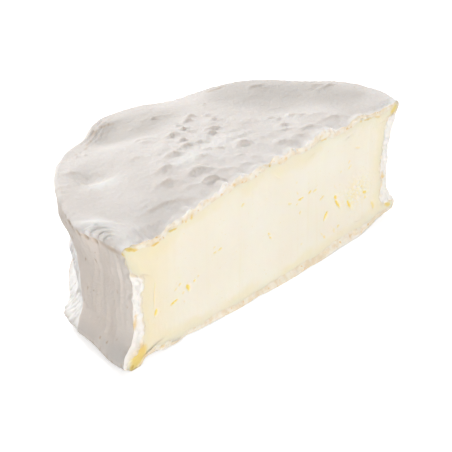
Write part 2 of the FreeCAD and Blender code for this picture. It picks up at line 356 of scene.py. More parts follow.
def ridges(wave):
    """Turns a wave of -1 to 1 into ridges of -1 to 1 with sharp crests."""
    return 1.0 - 2.0 * np.abs(wave)


def direction(x, y):
    """Direction about the wheel's axis, in degrees from +X."""
    return np.degrees(np.arctan2(y, x))


def in_cut(x, z):
    """Points in the cut's plane."""
    return np.stack([x, 0.0 * x, z], axis=-1)


def smoothed(ring, spread):
    """Values round a ring, each the mean of its neighbours up to spread steps away."""
    return sum(np.roll(ring, i, axis=0) for i in range(-spread, spread + 1)) / (2 * spread + 1)


# ---- the wheel's form ----
def lip_radius(degrees):
    return wheel_radius + around(OUTLINE_LOBES, degrees)


def waist_reach(degrees):
    follow = body_follow * around(OUTLINE_LOBES, degrees)
    return waist_radius + follow + around(WAIST_LOBES, degrees)


def foot_reach(degrees):
    follow = body_follow * around(OUTLINE_LOBES, degrees)
    return foot_radius + follow + around(FOOT_LOBES, degrees)


def foot_level(degrees):
    return foot_height + around(FOOT_LIFTS, degrees)


def rim_level(degrees):
    return rim_height + around(RIM_DIPS, degrees)


def top_level(x, y):
    """Height of the domed top, without its fine relief."""
    degrees, radius = direction(x, y), np.hypot(x, y)
    start, rim = lip_radius(degrees) - lip_round, rim_level(degrees)
    inwards = np.clip((start - radius) / (start - cap_radius), 0.0, 1.0)
    level = rim + (crown_height - rim) * np.sin(inwards * math.pi / 2.0)
    relief = 0.0
    for at, share, size, width in TOP_SWELLS:
        angle, reach = math.radians(at), share * wheel_radius
        away = np.hypot(x - reach * math.cos(angle), y - reach * math.sin(angle))
        relief = relief + size * bell(away, width)
    relief = relief * ease(relief_fade * inwards)
    return level + relief * ease((radius - cap_radius) / (2.0 * cap_radius))


def under_level(x, y):
    """Height of the underside, which lifts off the board towards the foot."""
    degrees, radius = direction(x, y), np.hypot(x, y)
    start = flat_radius + flat_shift * np.cos(np.radians(degrees))
    end = foot_reach(degrees) - foot_round
    share = np.clip((radius - start) / (end - start), 0.0, 1.0)
    return (foot_level(degrees) - foot_round) * share ** under_bend


def rounding(radius, level, size, turn, steps):
    """Points of an edge's rounding, one row for each step, as radius, height and facing angle."""
    angles = np.radians(np.linspace(turn[0], turn[1], steps))[:, None]
    reach = radius - size + size * np.cos(angles)
    return reach, level + size * np.sin(angles), angles + 0.0 * radius


def wall_rows(degrees, shares):
    """The section from the lip down to the foot, one row for each share of the way down."""
    lip, waist, foot = lip_radius(degrees), waist_reach(degrees), foot_reach(degrees)
    edge, base = rim_level(degrees) - lip_round, foot_level(degrees)
    lip_rows = rounding(lip, edge, lip_round, lip_turn, arc_steps)
    foot_rows = rounding(foot, base, foot_round, foot_turn[::-1], arc_steps)
    down = np.linspace(0.0, 1.0, wall_steps)[1:-1, None]
    height = edge + (base - edge) * down
    flare = np.clip((height - (edge - flare_height)) / flare_height, 0.0, 1.0) ** flare_bend
    kick = ease((base + kick_height - height) / kick_height)
    radius = waist + (lip - waist) * flare + (foot - waist) * kick
    radius = np.concatenate([lip_rows[0], radius, foot_rows[0]])
    height = np.concatenate([lip_rows[1], height, foot_rows[1]])
    facing = np.concatenate([lip_rows[2], 0.0 * down + 0.0 * lip, foot_rows[2]])
    step = np.hypot(np.diff(radius, axis=0), np.diff(height, axis=0))
    along = np.concatenate([0.0 * radius[:1], np.cumsum(step, axis=0)]) / step.sum(axis=0)
    out = [[np.interp(shares, along[:, i], rows[:, i]) for i in range(radius.shape[1])]
           for rows in (radius, height, facing)]
    return np.array(out).transpose(0, 2, 1)


def half_disc(across, deep):
    """Plan directions of a grid that fills half a disc of radius 1, one row for each depth."""
    a, d = np.meshgrid(across, deep)
    return a * np.sqrt(1.0 - d * d / 2.0), d * np.sqrt(1.0 - a * a / 2.0)


# ---- meshes ----
class Sheets:
    """Collects points and faces, and turns them into one piece."""

    def __init__(self):
        self.points, self.faces, self.count = [], [], 0

    def add(self, points):
        shape = points.shape[:-1]
        self.points.append(points.reshape(-1, 3))
        ids = self.count + np.arange(int(np.prod(shape))).reshape(shape)
        self.count += ids.size
        return ids

    def quads(self, ids):
        corners = (ids[:-1, :-1], ids[:-1, 1:], ids[1:, 1:], ids[1:, :-1])
        self.faces += np.stack(corners, axis=-1).reshape(-1, 4).tolist()

    def bridge(self, fine, coarse):
        """Joins two closed loops, the first with a whole number of times the second's steps."""
        ratio = len(fine) // len(coarse)
        fine, coarse = list(fine) + [fine[0]], list(coarse) + [coarse[0]]
        for i in range(len(coarse) - 1):
            part = fine[i * ratio:(i + 1) * ratio + 1]
            self.faces.append([coarse[i], coarse[i + 1]] + part[::-1])

    def all_points(self):
        return np.concatenate(self.points)


def build_skin(sheets, across, deep, high, scale=None, strip=0):
    """Top, wall and underside of a half wheel, open at the cut.

    scale is a function that shrinks the points, for an inner surface. With a strip, the
    underside has that many fine rows along the cut, and then steps half as fine.
    Gives the ids of the points round the cut, and each point's facing direction.
    """
    shape = scale or (lambda points: points)
    x, y = half_disc(across, deep)
    degrees = direction(x, y)
    start = lip_radius(degrees) - lip_round * (1.0 - math.cos(math.radians(lip_turn[0])))
    x, y = x * start, y * start
    top = sheets.add(shape(np.stack([x, y, top_level(x, y)], axis=-1)))
    facings = [np.tile((0.0, 0.0, 1.0), (top.size, 1))]
    sheets.quads(top)

    rim = np.concatenate([top[:, 0], top[-1, 1:-1], top[::-1, -1]])
    rim_degrees = np.concatenate([degrees[:, 0], degrees[-1, 1:-1], degrees[::-1, -1]])
    radius, height, facing = wall_rows(rim_degrees, high[1:])
    cos, sin = np.cos(np.radians(rim_degrees)), np.sin(np.radians(rim_degrees))
    cos[[0, -1]], sin[[0, -1]] = (-1.0, 1.0), 0.0
    wall_points = np.stack([radius * cos, radius * sin, height], axis=-1)
    wall = np.concatenate([rim[None, :], sheets.add(shape(wall_points))])
    out = np.stack([np.cos(facing) * cos, np.cos(facing) * sin, np.sin(facing)], axis=-1)
    facings.append(out.reshape(-1, 3))
    sheets.quads(wall)
    foot = wall[-1]

    def under(rows, columns, share=1.0):
        x, y = half_disc(columns, rows)
        edge = foot_round * (1.0 - math.cos(math.radians(foot_turn[0])))
        end = (foot_reach(direction(x, y)) - edge) * share
        x, y = x * end, y * end
        return np.stack([x, y, under_level(x, y)], axis=-1)

    def add_under(points):
        ids = sheets.add(points)
        facings.append(np.tile((0.0, 0.0, -1.0), (ids.size, 1)))
        return ids

    count = strip + 1 if strip else len(deep) - 1
    inner = add_under(shape(under(deep[:count], across)[:, 1:-1]))
    rows = np.concatenate([foot[:count, None], inner, foot[::-1][:count, None]], axis=1)
    if strip:
        sheets.quads(rows)
        points = under(deep[strip::2], across[::2], coarse_share)
        points[..., 1] = np.maximum(points[..., 1], points[0, 1:-1, 1].mean() + 1.0)
        points[..., 2] = under_level(points[..., 0], points[..., 1])
        coarse = add_under(points)
        sheets.quads(coarse)
        outer_loop = np.concatenate([foot[strip:len(foot) - strip], rows[-1][::-1][1:-1]])
        inner_loop = np.concatenate([coarse[:, 0], coarse[-1, 1:-1], coarse[::-1, -1],
                                     coarse[0][::-1][1:-1]])
        sheets.bridge(outer_loop, inner_loop)
    else:
        sheets.quads(np.concatenate([rows, foot[None, count:len(foot) - count]]))
    ring = np.concatenate([top[0], wall[1:, -1], rows[0][::-1][1:], wall[-2:0:-1, 0]])
    return ring, np.concatenate(facings)


def add_inner(sheets, across, high, rows, scale, shift):
    """A smooth inner wall, drawn further in once clear of the cut. Gives its edge's ids."""
    def inside(points):
        further = inner_pull * ease(points[..., 1:2] / inner_run)
        return points * scale - points * LEVEL * further + shift

    across, high = np.linspace(-1.0, 1.0, across // inner_coarse + 1), high // inner_coarse + 1
    return build_skin(sheets, across, np.linspace(0.0, 1.0, rows + 1),
                      np.linspace(0.0, 1.0, high), inside)[0]


def finish_piece(name, sheets, points, values, material):
    """Makes the mesh object in the frame's metres, closed and facing outwards."""
    mesh = bpy.data.meshes.new(name)
    mesh.from_pydata(((points + to_frame) * MM).tolist(), [], sheets.faces)
    for key, numbers in values.items():
        layer = mesh.attributes.new(key, "FLOAT", "POINT")
        layer.data.foreach_set("value", np.asarray(numbers, dtype=np.float32))
    mesh.polygons.foreach_set("use_smooth", [True] * len(mesh.polygons))
    mesh.update()
    piece = bpy.data.objects.new(name, mesh)
    bpy.context.scene.collection.objects.link(piece)
    if sum_volume(mesh) < 0.0:
        mesh.flip_normals()
    mesh.materials.append(material)
    return piece


def sum_volume(mesh):
    """Signed volume, which is above 0 where the faces look outwards."""
    mesh.calc_loop_triangles()
    corners = np.empty(len(mesh.loop_triangles) * 3, dtype=np.int32)
    mesh.loop_triangles.foreach_get("vertices", corners)
    places = np.empty(len(mesh.vertices) * 3)
    mesh.vertices.foreach_get("co", places)
    a, b, c = places.reshape(-1, 3)[corners.reshape(-1, 3)].transpose(1, 0, 2)
    return float(np.einsum("ij,ij->", a, np.cross(b, c))) / 6.0


# ---- relief of the rind ----
def dune_field(x, y):
    """Small dunes: steep from the crest on the side of dune_heading, gentle behind.

    Gives their height, and how near each place is to the foot of a crest, from 0 to 1.
    """
    heading = math.radians(dune_heading)
    total, crest = 0 * x, 0 * x
    for at_x, at_y, height, width, reach in DUNES:
        at_x, at_y, reach = at_x + dune_shift[0], at_y + dune_shift[1], reach * dune_reach
        along = (x - at_x) * math.cos(heading) + (y - at_y) * math.sin(heading)
        side = -(x - at_x) * math.sin(heading) + (y - at_y) * math.cos(heading)
        along = along - dune_bow * side * side / width
        ahead = np.maximum(along, 0) / reach
        front = (1 + dune_trough) * np.exp(-dune_fall * ahead)
        front -= dune_trough * np.exp(-dune_trough_fall * ahead)
        back = np.exp(-(np.maximum(-along, 0) / (reach * dune_back)) ** dune_bend)
        size = dune_size * height ** dune_even
        total += size * np.where(along > 0, front, back) * bell(side, width)
        crest = np.maximum(crest, min(height, 1) * bell(along - 0.5, 0.5) * bell(side, 0.8 * width))
    return total, crest


def top_relief(points):
    """Height to add to the top, from broad hollows down to its grain."""
    x, y, _ = points.T
    flat, degrees = points * LEVEL, direction(x, y)
    rim = lip_radius(degrees) - np.hypot(x, y)
    warp_x, warp_y = x + wander(flat, 3.1, 3, 11), y + wander(flat, 3.1, 3, 23)
    total = dune_field(warp_x, warp_y)[0] * ease((rim - 1) / 5)
    total *= 1 + 0.3 * wander(flat, 2, 2, 27)
    total += patches(HOLLOWS, warp_x, warp_y)
    total += 0.35 * wander(flat, 12, 2, 3)
    bumpy = 0.25 + bell(x + 3, 20) * bell(y - 22, 13)
    total += bumpy * 0.24 * wander(flat * (0.8, 1.2, 0), 4.2, 3, 7)
    drifted = flat + 0.6 * wander(flat, 2, 1, 28)[:, None]
    total += bumpy * 0.16 * (crumbs(drifted, 1.9, 29) - 0.5)
    total += around(RIM_RAISED, degrees) * (1 - ease((rim - 3) / 14))
    return total + 0.08 * wander(flat, 1.3, 2, 9)


def lip_folds(points):
    """The folds that swing from the rim's left end to the cut, and the crease of the back rim."""
    x, y, _ = points.T
    flat, degrees, radius = points * LEVEL, direction(x, y), np.hypot(x, y)
    rim = lip_radius(degrees) - radius

    # The small folds, and the large one past them.
    swing_x, swing_y = x - fold_centre[0], (y - fold_centre[1]) / fold_stretch
    reach, turn = np.hypot(swing_x, swing_y), direction(swing_x, swing_y)
    phase = np.log(np.maximum(reach, 1) / fold_first) / fold_pitch
    phase += 0.2 * wander(flat, 2.5, 1, 33)
    small = between(reach, 4.1, 0.5, 9.4, 1) * ease((turn - 16) / 40)
    large = bell(reach - 10.2, 1) * between(turn, -20, 25, 85, 20)
    total = fold_size * small * ridges(np.sin(phase * math.pi)) + 0.6 * large

    # The lip's edge at the left.
    total -= 0.5 * between(degrees, 146, 8, 176, 6) * (1 - ease((rim + 0.3) / 3.4)) ** 1.5
    total += around(LIP_RAISED, degrees) * (1 - ease((rim - 2) / 9))

    # The crease of the back rim: a step, its grooves, and ripples of the edge.
    inwards = rim - 1.6 + 0.5 * wander(flat, 4, 2, 31)
    ahead = np.maximum(inwards, 0)
    step = 1.5 * (1 - ease(ahead / 6)) - 0.9 * (1 - ease((ahead - 6) / 8))
    step = np.where(inwards > 0, step, ease(1 + inwards / 2))
    grooves = 0.22 * ridges(np.sin(inwards * math.pi / 1.4)) * bell(inwards - 2.2, 1.8)
    total += (step + grooves) * bell(degrees - 104.5, 7.5)
    edge = bell(inwards + 1, 2.5) * (0.4 + 0.6 * ease((degrees - 120) / 20))
    ripple = wander(np.stack([degrees / 1.6, radius / 9, 0 * x], axis=-1), 1, 2, 35)
    streaks = wander(flat * (1, 0.22, 0), 1.5, 2, 36) * bell(x + 40, 5) * bell(y - 38.5, 5)
    return total + 0.22 * edge * ripple + 0.3 * streaks


def fold_past(points):
    """How many degrees a place of the wall lies past its sharp fold, towards the back."""
    x, y, z = points.T
    return read_table(FOLD_AT, z) + 0.5 * wander(points * UPRIGHT, 4, 2, 49) - direction(x, y)


def wall_relief(points):
    """Upright wrinkles, the sharp fold at the left and the soft bulges of the wall."""
    x, y, z = points.T
    degrees = direction(x, y)
    arc = np.radians(degrees) * waist_radius
    lean = arc + 0.10 * (z - 20) * np.sin(np.radians(degrees) * 2)
    total = 0.12 * ridges(wander(in_cut(lean / 2.1, z / 17), 1, 1, 41))
    total += 0.5 * wander(in_cut(lean / 7, z / 30) + (0, 4, 0), 1, 2, 47)

    past = fold_past(points)
    behind = np.maximum(past, 0)
    hollow = 1.3 * (1 - np.exp(-behind / 6)) * ease((degrees - 108) / 14)
    fold = np.where(past > 0, 0.9 * np.exp(-behind / 4) - hollow,
                    0.9 * np.exp(np.minimum(past, 0) / 5))
    total += fold * ease((40 - z) / 7) + patches(WALL_BULGES, degrees, z)
    total += around(FOOT_LET_OUT, degrees) * ease((6 - z) / 4)

    pleat = in_cut((arc - 0.35 * z) / 1.9, z / 6) + (0, 8, 0)
    pinch = bell(degrees - 146, 9) * ease((31 - z) / 8) * ease(past / 2)
    total += 0.65 * pinch * ridges(np.abs(wander(pleat, 1, 2, 53)) ** 0.8)
    return total - 1.2 * crevice(points)


def crevice(points):
    """Where the skin is nipped in just under the lip at the left, from 0 to 1."""
    x, y, z = points.T
    degrees = direction(x, y)
    level = rim_level(degrees) - 1.8
    level += 0.4 * wander(in_cut(degrees / 3, 0 * x), 1, 2, 37)
    gaps = wander(in_cut(degrees / 1.3, 0 * x) + (0, 3, 0), 1, 2, 39)
    broken = ease(0.75 - 0.35 * ease((degrees - 161) / 4) + 1.3 * gaps)
    return bell(z - level, 0.65) * between(degrees, 153.5, 4, 176, 6) * broken


def draw_in(points):
    """How far the foot and the lip are drawn in at the left, in mm."""
    x, y, z = points.T
    degrees = direction(x, y)
    foot = around(FOOT_DRAWN_IN, degrees) * ease((11 - z) / 7)
    lip = around(LIP_DRAWN_IN, degrees) * ease((z - 30) / 8)
    return (foot + lip) * ease((np.hypot(x, y) - 42) / 16)


def lap_out(x):
    """How far the rind's lower band bulges out of the cut."""
    return bottom_lap * bell(x - 14, 26)


def edge_profile(points, facings):
    """How the outer skin gives way along the cut: droop, lift and rounding."""
    x, y, _ = points.T
    along = points * ACROSS
    up, down = np.clip(facings[:, 2], 0, 1), np.clip(-facings[:, 2], 0, 1)
    droop = read_table(TOP_DROOP, x) - 0.6 * bell(x - 5, 35)
    droop += 0.35 * wander(along, 2.2, 2, 61)
    lift = read_table(BOTTOM_LIFT, x) + 0.25 * np.abs(wander(along, 1.8, 2, 67))
    reach = np.maximum(4.4 + 1.2 * wander(along, 5, 1, 71), 1.2)
    change = -droop * (1 - ease(y / reach)) * up - lift * (1 - ease(y / 1.6)) * down
    ragged = 0.6 * wander(points * UPRIGHT, 2.4, 2, 73) * (1 - ease(y / 1.8))
    return change + ragged * (1 - np.maximum(up, down))


def dress_skin(points, facings):
    """Moves the outer skin's points by the relief of top, wall and edge."""
    x, y, _ = points.T
    up = facings[:, 2]
    top, wall = ease(up * 1.15), 1 - np.clip(np.abs(up) * 1.15, 0, 1)
    clear = ease(y / 3)
    change = top * (top_relief(points) * (0.35 + 0.65 * clear) + lip_folds(points) * clear)
    change += wall * wall_relief(points) * (0.5 + 0.5 * clear)
    change += edge_profile(points, facings)
    lumps = 0.36 * crumbs(points * (1, 1.2, 1.2), 3.8, 5) - 0.08
    change += lumps * (1 - ease((y - 0.2) / 3.4)) * (0.25 + 0.75 * top)
    change += 0.04 * wander(points, 1.5, 2, 83)
    moved = points + facings * change[:, None]
    moved[:, 2] = np.clip(moved[:, 2], 0, highest)
    moved[y == 0, 1] = 0
    moved[:, :2] *= (1 - draw_in(points) / np.maximum(np.hypot(x, y), 1))[:, None]
    moved[:, 1] -= lap_out(x) * np.clip(-up, 0, 1) * (1 - ease(y / 4))
    return moved


def top_stains(points):
    """Thin brown marks of the top, from 0 to 1."""
    flat = points * LEVEL
    x = points[:, 0] + 0.5 * wander(flat, 2.2, 2, 121)
    y = points[:, 1] + 0.5 * wander(flat, 2.2, 2, 123)
    total = 0.22 * dune_field(x, y)[1]
    for x1, y1, x2, y2, width, strength in TOP_MARKS:
        length, tilt = math.hypot(x2 - x1, y2 - y1), math.degrees(math.atan2(y2 - y1, x2 - x1))
        row = ((x1 + x2) / 2, (y1 + y2) / 2, length, width, tilt)
        total = np.maximum(total, strength * mark(x, y, row))
    return total


def wall_stains(points):
    """Brown specks of the wall, its foot and the nip under its lip, from 0 to 1."""
    x, y, z = points.T
    degrees = direction(x, y)
    speck = ease((wander(points * (1, 1, 0.6), 0.9, 1, 125) - 0.42) / 0.2)
    sparse = ease((wander(points, 5, 1, 127) - 0.05) / 0.3)
    foot = bell(z - 1.8, 1.2) * ease((wander(points * LEVEL, 1.5, 2, 129) - 0.1) / 0.2)
    corner = bell(z - rim_level(degrees) + 1.6, 0.8) * bell(degrees - 176.5, 2.2)
    total = 0.55 * speck * sparse + 0.6 * foot * ease((x + 20) / -20)
    return np.clip(total + 0.85 * crevice(points) + 0.5 * corner, 0, 1)


def skin_looks(form, facings):
    """Painted shade and light, stain and share of wall at each point of the outer skin."""
    x, y, z = form.T
    upper, degrees = ease(facings[:, 2] * 1.4), direction(x, y)
    # Painted light: whiter skin along the cut, for the glow of light through the thin torn lumps.
    white = (0.5 - 0.5 * ease((y - 0.5) / 2.5)) * (1 - bell(x + 46, 7))
    # Painted light on the wall's strip past its sharp fold, where the key lamp grazes it.
    strip = -ease((fold_past(form) + 0.3) / 1.2) * ease((z - 0.5) / 4)
    # Painted shade on the lower wall, darker towards the board.
    side = strip + 0.5 * (1 - ease((z - 5) / 6)) * (1 + strip)
    # Painted shade near the cut's left end, and on the back of the wall, which faces the key lamp.
    side += 0.5 * bell(degrees - 178, 4) + 1.2 * between(degrees, 20, 12, 132, 12)
    painted_shade_and_light = (patches(PAINTED_SHADE_AND_LIGHT_PATCHES, x, y) - white) * upper + side * (1 - upper)
    stain = np.maximum(top_stains(form) * upper, wall_stains(form) * (1 - upper))
    return {"painted_shade_and_light": painted_shade_and_light, "stain": stain, "wall": 1 - upper}


# ---- the cut ----
def ring_normals(ring):
    """Inward directions in the cut's plane, smoothed so that offsets don't cross."""
    def unit(vectors):
        return vectors / np.linalg.norm(vectors, axis=1, keepdims=True)

    spread = 5
    along = np.roll(ring, -spread, axis=0) - np.roll(ring, spread, axis=0)
    return unit(smoothed(unit(np.stack([along[:, 1], -along[:, 0]], axis=-1)), spread))


def band_width(ring):
    """Width of the rind's band at each point of the ring round the cut."""
    x, z = ring.T
    right = ring_across + 1
    bottom = right + ring_high
    left = bottom + ring_across
    width = np.concatenate([
        z[:right] - read_table(PASTE_TOP, x[:right]), read_table(RIGHT_BAND, z[right:bottom]),
        read_table(BOTTOM_BAND, x[bottom:left]), read_table(LEFT_BAND, z[left:])])
    flat = in_cut(x, z)
    width = width + 0.35 * wander(flat, 1.7, 2, 91) + 0.2 * wander(flat, 0.8, 1, 93)
    return smoothed(np.maximum(width, least_band), 2)


def mark(x, z, table_row):
    """A mark's strength from 0 to 1 at each place of the cut, tapered to its ends."""
    at_x, at_z, length, width, tilt = table_row[:5]
    angle = math.radians(tilt)
    along = (x - at_x) * math.cos(angle) + (z - at_z) * math.sin(angle)
    side = -(x - at_x) * math.sin(angle) + (z - at_z) * math.cos(angle)
    taper = np.clip(1 - np.abs(along / (0.5 * length)) ** 2.5, 0, 1)
    return taper * bell(side, 0.5 * width * (0.35 + 0.65 * taper) + 0.06)


def seeped(x, z):
    """Strength of the golden marks at each place of the cut, from 0 to 1."""
    return np.maximum.reduce([row[5] * mark(x, z, row) for row in SEEPS])


def row_depths():
    """Shares of the half disc's depth, close together along the cut."""
    near = near_rows / wheel_reach
    return np.concatenate([near[:-1], np.linspace(near[-1], 1, far_rows + 1)])


def columns(count):
    """Places across the half disc, closest at the left end, where the folds are."""
    where = np.linspace(-1, 1, 801)
    density = 1 + 0.55 * ease((-0.66 - where) / 0.12) - 0.2 * ease((where - 0.3) / 0.3)
    total = np.concatenate([[0], np.cumsum((density[1:] + density[:-1]) / 2)])
    return np.interp(np.linspace(0, total[-1], count + 1), total, where)


def add_band(sheets, ring, line, inward, width):
    """The torn band of rind round the cut, from the skin's edge in to the paste.

    Gives the ids of its rows, and how far the points of each row lie from the paste.
    """
    steep = np.abs(inward[:, 0])
    upright = ease((steep - 0.4) / 0.4)
    lap = lap_out(line[:, 0]) * ease((5 - line[:, 1]) / 2)
    rows, paste_side = [ring], [width * (1 + 1.6 * steep)]
    for share in BAND_SHARES:
        x, z = (line + inward * (width * share)[:, None]).T
        flat = in_cut(x, z)
        rough = (crumbs(flat, 2.4, 17) - 0.45) * (0.3 + 0.6 * upright)
        rough += 0.35 * wander(flat, 2.6, 3, 19)
        body = ease(width * share / 0.9) * ease((1 - share) * width / 1.7)
        out = -(0.18 + rough) * body * np.clip(width / 2, 0.2, 1)
        if share < 0.3:
            bevel = 0.45 * (1 - ease(width * share / 0.8)) ** 2 * np.clip(width - 0.4, 0, 1)
            out += bevel * np.clip(0.5 - 0.5 * inward[:, 1], 0.25, 1)
        out += 0.08 * ease((share - 0.82) / 0.18) - lap * (1 - ease(share))
        if share > 1:
            out += tuck
        rows.append(sheets.add(np.stack([x, out, z], axis=-1)))
        paste_side.append(width * (1 - share) * (1 + 1.6 * steep))
    loops = np.array(rows)
    sheets.quads(np.concatenate([loops, loops[:, :1]], axis=1))
    return rows, paste_side


def make_rind(material):
    """The shell and its band. Gives the cut's outline, inward directions and band width too."""
    sheets = Sheets()
    ring, facings = build_skin(sheets, columns(ring_across), row_depths(),
                               np.linspace(0, 1, ring_high + 1), strip=len(near_rows) - 1)
    form = sheets.all_points()
    outer = dress_skin(form, facings)
    line = outer[ring][:, [0, 2]]
    inward, width = ring_normals(line), band_width(line)
    rows, paste_side = add_band(sheets, ring, line, inward, width)
    sheets.bridge(rows[-1], add_inner(sheets, ring_across, ring_high, *CAVITY))
    points = sheets.all_points()
    points[:len(outer)] = outer

    x, y, z = points.T
    values = {"paste_side": np.full(len(points), far_away), "cut": np.zeros(len(points)),
              "gold": seeped(x, z) * (y < 1)}
    for ids, near in zip(rows, paste_side):
        values["paste_side"][ids], values["cut"][ids] = near, 1
    for key, numbers in skin_looks(form, facings).items():
        values[key] = np.zeros(len(points))
        values[key][:len(outer)] = numbers
    return finish_piece("rind", sheets, points, values, material), line, inward, width


def resample(values, across, high, new_across, new_high):
    """Values round the ring at another number of steps on each of its four sides."""
    corners = np.cumsum([0, across, high, across, high])
    looped = np.concatenate([values, values[:1]])
    out = []
    for side, steps in enumerate((new_across, new_high, new_across, new_high)):
        part = looped[corners[side]:corners[side + 1] + 1]
        where = np.linspace(0, len(part) - 1, steps + 1)[:-1]
        steps = np.arange(len(part))
        out.append(np.stack([np.interp(where, steps, column) for column in part.T], axis=-1))
    return np.concatenate(out)


def face_grid(ring, across, high):
    """Fills a four-sided ring with a grid of points, row by row from the top."""
    top = ring[:across + 1]
    right = ring[across:across + high + 1]
    bottom = ring[across + high:2 * across + high + 1][::-1]
    left = np.concatenate([ring[2 * across + high:], ring[:1]])[::-1]
    u = np.linspace(0, 1, across + 1)[None, :, None]
    v = np.linspace(0, 1, high + 1)[:, None, None]
    blend = (1 - v) * top[None] + v * bottom[None] + (1 - u) * left[:, None] + u * right[:, None]
    corners = ((1 - u) * (1 - v) * top[0] + u * (1 - v) * top[-1]
               + (1 - u) * v * bottom[0] + u * v * bottom[-1])
    return blend - corners


def paste_relief(x, z):
    """How far the paste's face stands back, how golden it is, and how amber."""
    flat = in_cut(x, z)
    wobble_x = x + 0.22 * wander(flat, 1.3, 2, 105)
    wobble_z = z + 0.22 * wander(flat, 1.3, 2, 107)
    back = 0.12 * wander(flat, 16, 2, 101) + 0.03 * wander(flat, 3, 2, 103)
    gold = 0 * x
    for at_x, at_z, length, width, tilt, depth, share in CRACKS:
        crack = mark(wobble_x, wobble_z, (at_x, at_z, 1.25 * length, 0.95 * width, tilt))
        back += 0.6 * depth * crack
        gold = np.maximum(gold, share * ease((crack - 0.25) / 0.55))
    grain = crumbs(flat * (1, 1, 1.3), 1.7, 109)
    back -= 0.5 * patches(CRUMBLY, x, z) * (grain - 0.5)
    pits = bell(x - 42, 5) * bell(z - 16.5, 4) * ease((0.3 - grain) / 0.25)
    knife = z - 23 - 0.055 * (x - 2)
    back += 0.05 * bell(knife, 0.18) * ease((45 - np.abs(x - 2)) / 6)
    back += 0.02 * wander(in_cut(x + 0.08 * (z - 20), z / 30), 1.5, 2, 113)
    return back, np.maximum(gold, 0.35 * pits), seeped(wobble_x, wobble_z)


def warm_zone(x, z):
    """How much yellower the paste is, towards both ends, the top and the board."""
    drift = 1.5 * wander(in_cut(x, z), 7, 2, 131)
    left = ease((-37 + drift - x) / 13) * (0.62 + 0.25 * ease((z - 28) / 8))
    right = ease((x - 47 + drift) / 5) * 0.3 + ease((z - 30 + drift) / 7) * 0.15
    low = ease((7 - z + drift) / 5) * 0.2
    return np.clip(np.maximum(np.maximum(left, right), low), 0, 1)


def make_paste(material, line, inward, width):
    """The body inside the rind, with its cut face tucked in behind the band."""
    def face_edge(depth):
        edge = line + inward * depth[:, None]
        return resample(edge, ring_across, ring_high, face_across, face_high)

    sheets = Sheets()
    grid = face_grid(face_edge(np.maximum(width - hidden, 0.15)), face_across, face_high)
    x, z = grid.transpose(2, 0, 1)
    back, gold, amber = paste_relief(x, z)
    rim = np.full(x.shape, far_away)
    for at_x, at_z in face_edge(width)[::3]:
        rim = np.minimum(rim, np.hypot(x - at_x, z - at_z))
    face = sheets.add(np.stack([x, back, z], axis=-1))
    sheets.quads(face)
    edge = np.concatenate([face[0], face[1:, -1], face[-1, ::-1][1:], face[::-1, 0][1:-1]])
    sheets.bridge(edge, add_inner(sheets, face_across, face_high, *BODY))
    points = sheets.all_points()
    values = {}
    for key, inside, shown in (("rim", far_away, rim), ("gold", 0.0, gold),
                               ("warm", 0.0, warm_zone(x, z)), ("seep", 0.0, amber)):
        values[key] = np.full(len(points), inside)
        values[key][face.ravel()] = shown.ravel()
    return finish_piece("paste", sheets, points, values, material)


# ---- materials ----
def srgb(red, green, blue):
    """A colour written as 0 to 255, in the linear values that nodes take."""
    values = [c / 255.0 for c in (red, green, blue)]
    return tuple(c / 12.92 if c <= 0.04045 else ((c + 0.055) / 1.055) ** 2.4
                 for c in values) + (1.0,)


class Nodes:
    """The node tree of a material or world, with a short call for each kind of node used."""

    def __init__(self, owner):
        owner.use_nodes = True
        self.tree = owner.node_tree

    def fill(self, node, inputs):
        """Gives a node's sockets plain values, or links them to other nodes' outputs."""
        for key, value in inputs.items():
            if isinstance(value, bpy.types.NodeSocket):
                self.tree.links.new(value, node.inputs[key])
            else:
                node.inputs[key].default_value = value

    def add(self, kind, output, inputs, **settings):
        node = self.tree.nodes.new("ShaderNode" + kind)
        for key, value in settings.items():
            setattr(node, key, value)
        self.fill(node, inputs)
        return node.outputs[output]

    def noise(self, size_mm, detail=2.0, stretch=(1.0, 1.0, 1.0)):
        """A noise texture with features of about size_mm, in the object's own metres."""
        place = self.add("TexCoord", "Object", {})
        place = self.add("Mapping", "Vector", {"Scale": stretch, "Vector": place})
        inputs = {"Scale": 1.0 / (size_mm * MM), "Detail": detail, "Vector": place}
        return self.add("TexNoise", "Fac", inputs)

    def attribute(self, name):
        return self.add("Attribute", "Fac", {}, attribute_name=name)

    def ramp(self, source, low, high, to_low=0.0, to_high=1.0):
        """Maps a value's range smoothly onto another one."""
        inputs = {"Value": source, "From Min": low, "From Max": high,
                  "To Min": to_low, "To Max": to_high}
        return self.add("MapRange", "Result", inputs, interpolation_type="SMOOTHSTEP")

    def combine(self, operation, first, second):
        return self.add("Math", "Value", {0: first, 1: second}, operation=operation)

    def tint(self, share, under, over):
        """Mixes two colours, each a colour or a socket, by a share."""
        return self.add("Mix", "Result", {"Factor": share, "A": under, "B": over}, data_type="RGBA")

    def bump(self, height, distance_mm, **normal):
        inputs = {"Distance": distance_mm * MM, "Height": height, **normal}
        return self.add("Bump", "Normal", inputs)

    def seen(self):
        """1 for what the camera sees, straight or in gloss or glass, else 0."""
        path = self.tree.nodes.new("ShaderNodeLightPath").outputs
        seen = self.combine("MAXIMUM", path["Is Camera Ray"], path["Is Glossy Ray"])
        return self.combine("MAXIMUM", seen, path["Is Transmission Ray"])

    def finish(self, inputs):
        self.fill(self.tree.nodes["Principled BSDF"], inputs)


